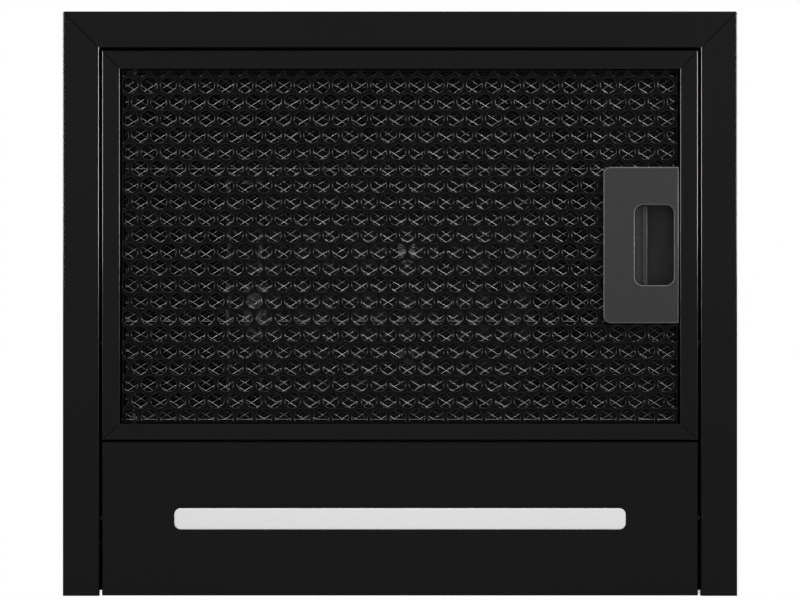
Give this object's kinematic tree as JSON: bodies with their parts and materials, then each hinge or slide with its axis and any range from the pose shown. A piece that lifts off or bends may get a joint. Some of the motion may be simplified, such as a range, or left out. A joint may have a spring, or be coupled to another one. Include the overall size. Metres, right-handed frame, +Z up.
{
  "type": "wall-mounted range hood",
  "caption": "Square tower range hood with a swing-down perforated grease filter, light bar, push buttons, blower and telescopic chimney.",
  "frame": {"origin": "under the middle of the body, in the plane of its underside", "axes": "+Z up, +Y towards the wall, +X to the right when facing the wall"},
  "size_m": [0.352, 0.305, 0.7165],
  "materials": {
    "black_powder_coat": "fine matt powder coat",
    "galvanised_sheet": "galvanised sheet",
    "screw_steel": "zinc plated",
    "black_screw": "black zinc",
    "opal_plastic": "satin opal",
    "white_plastic": "matt",
    "circuit_board": "solder mask",
    "led_chip": "phosphor",
    "filter_sheet": "black, semi-matt",
    "filter_mesh": "bright expanded foil",
    "rivet_aluminium": "plain",
    "latch_plastic": "fine spark texture",
    "spring_steel": "drawn wire",
    "scroll_plastic": "moulded",
    "impeller_plastic": "moulded",
    "motor_metal": "zinc plated",
    "grommet_rubber": "soft",
    "collar_plastic": "moulded",
    "box_plastic": "moulded",
    "capacitor_can": "plain",
    "bezel_plastic": "satin",
    "button_metal": "satin"
  },
  "bodies": {
    "hood": {"body_shell": "black_powder_coat", "rear_panel": "black_powder_coat", "shell_screws": "screw_steel", "hanger_plates": "galvanised_sheet", "deck_plate": "black_powder_coat", "deck_screws": "screw_steel", "filter_frame": "black_powder_coat", "frame_screws": "screw_steel", "light_panel": "black_powder_coat", "light_lens": "opal_plastic", "light_housing": "white_plastic", "light_screws": "screw_steel", "led_board": "circuit_board", "led_chips": "led_chip", "scroll_left": "scroll_plastic", "scroll_right": "scroll_plastic", "scroll_clips": "spring_steel", "motor_body": "motor_metal", "motor_bracket": "galvanised_sheet", "motor_grommets": "grommet_rubber", "motor_screws": "screw_steel", "inlet_guard": "scroll_plastic", "outlet_collar": "collar_plastic", "collar_screws": "screw_steel", "damper_pin": "screw_steel", "electronics_box": "box_plastic", "electronics_lid": "box_plastic", "control_board": "circuit_board", "terminal_block": "white_plastic", "capacitor": "capacitor_can", "cable_gland": "collar_plastic", "control_bezel": "bezel_plastic", "switch_board": "circuit_board", "micro_switches": "box_plastic"},
    "filter": {"filter_face": "filter_sheet", "filter_mesh_lower": "filter_mesh", "filter_mesh_middle": "filter_mesh", "filter_mesh_upper": "filter_mesh", "filter_back": "filter_sheet", "filter_rim": "filter_sheet", "rim_rivets": "rivet_aluminium", "pivot_pins": "screw_steel", "latch_housing": "latch_plastic", "latch_springs": "spring_steel", "latch_cover": "latch_plastic"},
    "latch": {"latch_slider": "latch_plastic"},
    "rotor": {"impeller": "impeller_plastic", "motor_shaft": "screw_steel"},
    "front_flap": {"damper_flap_front": "collar_plastic"},
    "rear_flap": {"damper_flap_rear": "collar_plastic"},
    "sleeve": {"chimney_sleeve": "black_powder_coat", "sleeve_bracket": "galvanised_sheet", "sleeve_screws": "black_screw"},
    "off_button": {"button_off": "button_metal"},
    "low_button": {"button_low": "button_metal"},
    "medium_button": {"button_medium": "button_metal"},
    "high_button": {"button_high": "button_metal"},
    "light_button": {"button_light": "button_metal"}
  },
  "joints": [
    {"name": "filter_swing", "type": "hinge", "parent": "hood", "child": "filter", "pos_m": [-0.139, 0, 0.0058], "axis": [0, 1, 0], "range_deg": [0, 75]},
    {"name": "latch_slide", "type": "slide", "parent": "filter", "child": "latch", "axis": [1, 0, 0], "range_m": [-0.004, 0], "stiffness_N_per_m": 400, "springref_m": 0.004, "deforming": ["latch_springs"]},
    {"name": "impeller_spin", "type": "hinge", "parent": "hood", "child": "rotor", "pos_m": [0, 0, 0.17], "axis": [1, 0, 0], "continuous": true},
    {"name": "front_flap_swing", "type": "hinge", "parent": "hood", "child": "front_flap", "pos_m": [0, 0.053, 0.3471], "axis": [-1, 0, 0], "range_deg": [0, 75]},
    {"name": "rear_flap_swing", "type": "hinge", "parent": "hood", "child": "rear_flap", "pos_m": [0, 0.053, 0.3471], "axis": [1, 0, 0], "range_deg": [0, 75]},
    {"name": "sleeve_slide", "type": "slide", "parent": "hood", "child": "sleeve", "axis": [0, 0, 1], "range_m": [0, 0.24]},
    {"name": "off_press", "type": "slide", "parent": "hood", "child": "off_button", "axis": [0, 1, 0], "range_m": [0, 0.002], "stiffness_N_per_m": 800, "springref_m": -0.0015},
    {"name": "low_press", "type": "slide", "parent": "hood", "child": "low_button", "axis": [0, 1, 0], "range_m": [0, 0.002], "stiffness_N_per_m": 800, "springref_m": -0.0015},
    {"name": "medium_press", "type": "slide", "parent": "hood", "child": "medium_button", "axis": [0, 1, 0], "range_m": [0, 0.002], "stiffness_N_per_m": 800, "springref_m": -0.0015},
    {"name": "high_press", "type": "slide", "parent": "hood", "child": "high_button", "axis": [0, 1, 0], "range_m": [0, 0.002], "stiffness_N_per_m": 800, "springref_m": -0.0015},
    {"name": "light_press", "type": "slide", "parent": "hood", "child": "light_button", "axis": [0, 1, 0], "range_m": [0, 0.002], "stiffness_N_per_m": 800, "springref_m": -0.0015}
  ]
}
